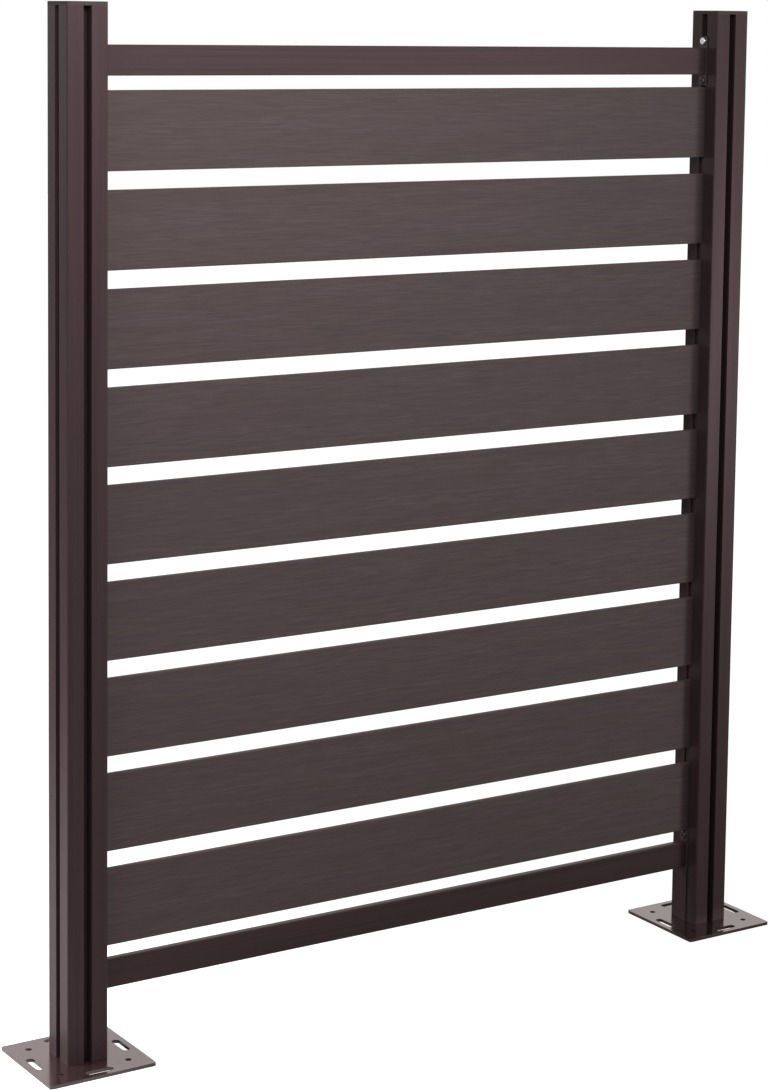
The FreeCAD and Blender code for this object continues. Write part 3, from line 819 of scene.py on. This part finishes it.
# Post caps: moulded plastic covers in the posts' colour. A hollow square plug under each one pushes into the
# post between its channels.
CAP_HEIGHT = 0.007
CAP_CORNER = 0.003
CAP_EDGE = 0.0012
CAP_BREAK = 0.0003
PLUG_HALF = 0.0179
PLUG_WALL = 0.002
CAP_PATCH = 0.02
SPARK_SIZE = 0.0008
SPARK_DEPTH = 0.00003


def moulded_cap_plastic():
    """Moulded polypropylene in the coat's colour: matt, with the mould's fine spark texture."""
    material, where = new_material("moulded_cap_plastic")
    patches = add_node(material, "ShaderNodeTexNoise", {"Vector": where, "Scale": 1 / CAP_PATCH})
    sparks = {"Vector": where, "Scale": 1 / SPARK_SIZE, "Detail": 3}
    sparks = add_node(material, "ShaderNodeTexNoise", sparks)
    colours = {"Factor": patches, "A": linear("35292A"), "B": linear("392D2E")}
    gloss = {"Value": sparks, "From Min": NOISE_LOW, "From Max": NOISE_HIGH, "To Min": 0.50, "To Max": 0.62}
    return finish_material(
        material,
        {
            "Base Color": add_node(material, "ShaderNodeMix", colours, data_type="RGBA"),
            "Roughness": add_node(material, "ShaderNodeMapRange", gloss),
            "IOR": 1.49,
            "Specular IOR Level": 0.2,
            "Normal": add_node(material, "ShaderNodeBump", {"Height": sparks, "Distance": SPARK_DEPTH}),
        },
    )


def make_cap():
    low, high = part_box("left_post_cap")
    centre = (low + high) / 2
    base = high.z - CAP_HEIGHT
    cap = start_box("left_post_cap_cover", (low.x, low.y, base), high)
    round_edges(cap, CAP_CORNER, 6, runs_along(Z))
    round_edges(cap, CAP_EDGE, 4, lambda *ends: all(end.z > high.z - TOUCH for end in ends))
    plug = start_box(
        "plug",
        (centre.x - PLUG_HALF, -PLUG_HALF, low.z),
        (centre.x + PLUG_HALF, PLUG_HALF, base + OVERLAP),
    )
    inside = PLUG_HALF - PLUG_WALL
    hollow_low, hollow_high = (centre.x - inside, -inside, low.z - CLEAR), (centre.x + inside, inside, base)
    hollow = start_box("hollow", hollow_low, hollow_high)
    combine(cap, "UNION", plug)
    combine(cap, "DIFFERENCE", hollow)
    return break_edges(cap, CAP_BREAK)


cap_plastic = moulded_cap_plastic()
left_cap = make_cap()
right_cap = copy_of(left_cap, "right_post_cap_cover", HALF_TURN)
stand_for("left_post_cap", left_cap, cap_plastic)
stand_for("right_post_cap", right_cap, cap_plastic)

# Floor and backdrop: a plain white studio floor that keeps a soft shadow near the screen and turns into the
# white of the backdrop further out.
FLOOR_SIZE = 40
FLOOR_SHADE_REACH = 1.2
FLOOR_WHITE_REACH = 3.0
FLOOR_GLOW = 0.82
WORLD_LIGHT = 0.2


def shown_rays(stage, *others):
    """A node that gives 1 for the camera's rays and for the others that show the white too."""
    path = add_node(stage, "ShaderNodeLightPath")
    factor = path.outputs["Is Camera Ray"]
    for name in others:
        factor = add_node(stage, "ShaderNodeMath", {0: factor, 1: path.outputs[name]}, operation="MAXIMUM")
    return factor


def white_floor_paint():
    """Matt pale paint, lit by the lamps, with a glow for the camera that grows to plain white far out."""
    material, where = new_material("white_floor_paint")
    reach = add_node(material, "ShaderNodeVectorMath", {"Vector": where}, operation="LENGTH")
    glow = {
        "Value": reach,
        "From Min": FLOOR_SHADE_REACH,
        "From Max": FLOOR_WHITE_REACH,
        "To Min": FLOOR_GLOW,
        "To Max": 1,
    }
    glow = add_node(material, "ShaderNodeMapRange", glow)
    shown = shown_rays(material, "Is Transmission Ray")
    strength = add_node(material, "ShaderNodeMath", {0: glow, 1: shown}, operation="MULTIPLY")
    paint = add_node(material, "ShaderNodeBsdfDiffuse", {"Color": linear("A8A8A8")})
    light = add_node(material, "ShaderNodeEmission", {"Color": linear("FFFFFF"), "Strength": strength})
    both = add_node(material, "ShaderNodeAddShader", {0: paint, 1: light})
    add_node(material, "ShaderNodeOutputMaterial", {"Surface": both})
    return material


bpy.ops.mesh.primitive_plane_add(size=FLOOR_SIZE, location=(0, 0, 0))
floor = bpy.context.object
floor.name = "studio_floor"
floor.data.materials.append(white_floor_paint())

world = bpy.data.worlds.new("white_studio")
bpy.context.scene.world = world
world.use_nodes = True
world.node_tree.nodes.clear()
dim = add_node(world, "ShaderNodeBackground", {"Color": linear("FFFFFF"), "Strength": WORLD_LIGHT})
white = add_node(world, "ShaderNodeBackground", {"Color": linear("FFFFFF"), "Strength": 1})
shown = shown_rays(world, "Is Glossy Ray", "Is Transmission Ray")
both = add_node(world, "ShaderNodeMixShader", {0: shown, 1: dim, 2: white})
add_node(world, "ShaderNodeOutputWorld", {"Surface": both})

# Lights: a large soft box high in front on the right and a low one beside it. A narrow one brightens the
# post tops. On the left, one lights the posts' sides, one the floor beside them, and one in front draws fine
# shadows.
LAMPS = (
    ("key_light", (1.9, -3.3, 3.0), (0, 0, 1.2), 2.4, 38, 180),
    ("fill_light", (2.5, -3.2, 0.8), (0.2, 0, 0.7), 1.0, 54, 180),
    ("top_light", (0.7, -3.5, 3.0), (-0.7, 0, 2.3), 1.6, 10, 50),
    ("left_light", (-3.3, -1.2, 2.7), (-0.7, 0, 1.9), 1.4, 14, 110),
    ("floor_light", (-2.4, 0.6, 2.0), (-1.5, 0.2, 0), 1.4, 54, 80),
    ("front_left_light", (-1.9, -3.2, 3.4), (-0.7, 0, 2.0), 1.0, 12, 60),
)
for name, place, aim, size, power, spread_angle in LAMPS:
    bpy.ops.object.light_add(type="AREA", location=place)
    lamp = bpy.context.object
    lamp.name = name
    lamp.rotation_euler = (Vector(aim) - Vector(place)).to_track_quat("-Z", "Y").to_euler()
    lamp.data.size = size
    lamp.data.energy = power
    lamp.data.spread = math.radians(spread_angle)

# Camera: to the left of the screen at its full height, turned towards it, with a long lens. The frame's
# middle lies below the lens's axis, which the shift gives.
CAMERA_PLACE = (-2.609, -3.9429, 1.7923)
CAMERA_YAW = math.radians(32.702)
CAMERA_PITCH = math.radians(6.065)
CAMERA_ROLL = math.radians(-0.680)
FRAME_WIDTH_PX = 768
FRAME_HEIGHT_PX = 1090
FOCAL_PX = 2615.65
AXIS_COLUMN_PX = 384.5
AXIS_ROW_PX = 296.5
SENSOR_MM = 36

forward = Vector(
    (
        math.sin(CAMERA_YAW) * math.cos(CAMERA_PITCH),
        math.cos(CAMERA_YAW) * math.cos(CAMERA_PITCH),
        -math.sin(CAMERA_PITCH),
    )
)
level_right = Vector((math.cos(CAMERA_YAW), -math.sin(CAMERA_YAW), 0))
level_down = forward.cross(level_right)
right = level_right * math.cos(CAMERA_ROLL) + level_down * math.sin(CAMERA_ROLL)
down = level_down * math.cos(CAMERA_ROLL) - level_right * math.sin(CAMERA_ROLL)
bpy.ops.object.camera_add(location=CAMERA_PLACE)
camera = bpy.context.object
camera.name = "camera"
camera.rotation_euler = Matrix((right, -down, -forward)).transposed().to_euler()
camera.data.sensor_width = SENSOR_MM
camera.data.lens = FOCAL_PX / FRAME_HEIGHT_PX * SENSOR_MM
camera.data.shift_x = (FRAME_WIDTH_PX / 2 - AXIS_COLUMN_PX) / FRAME_HEIGHT_PX
camera.data.shift_y = AXIS_ROW_PX / FRAME_HEIGHT_PX - 0.5
bpy.context.scene.camera = camera
bpy.context.scene.view_settings.view_transform = "Standard"
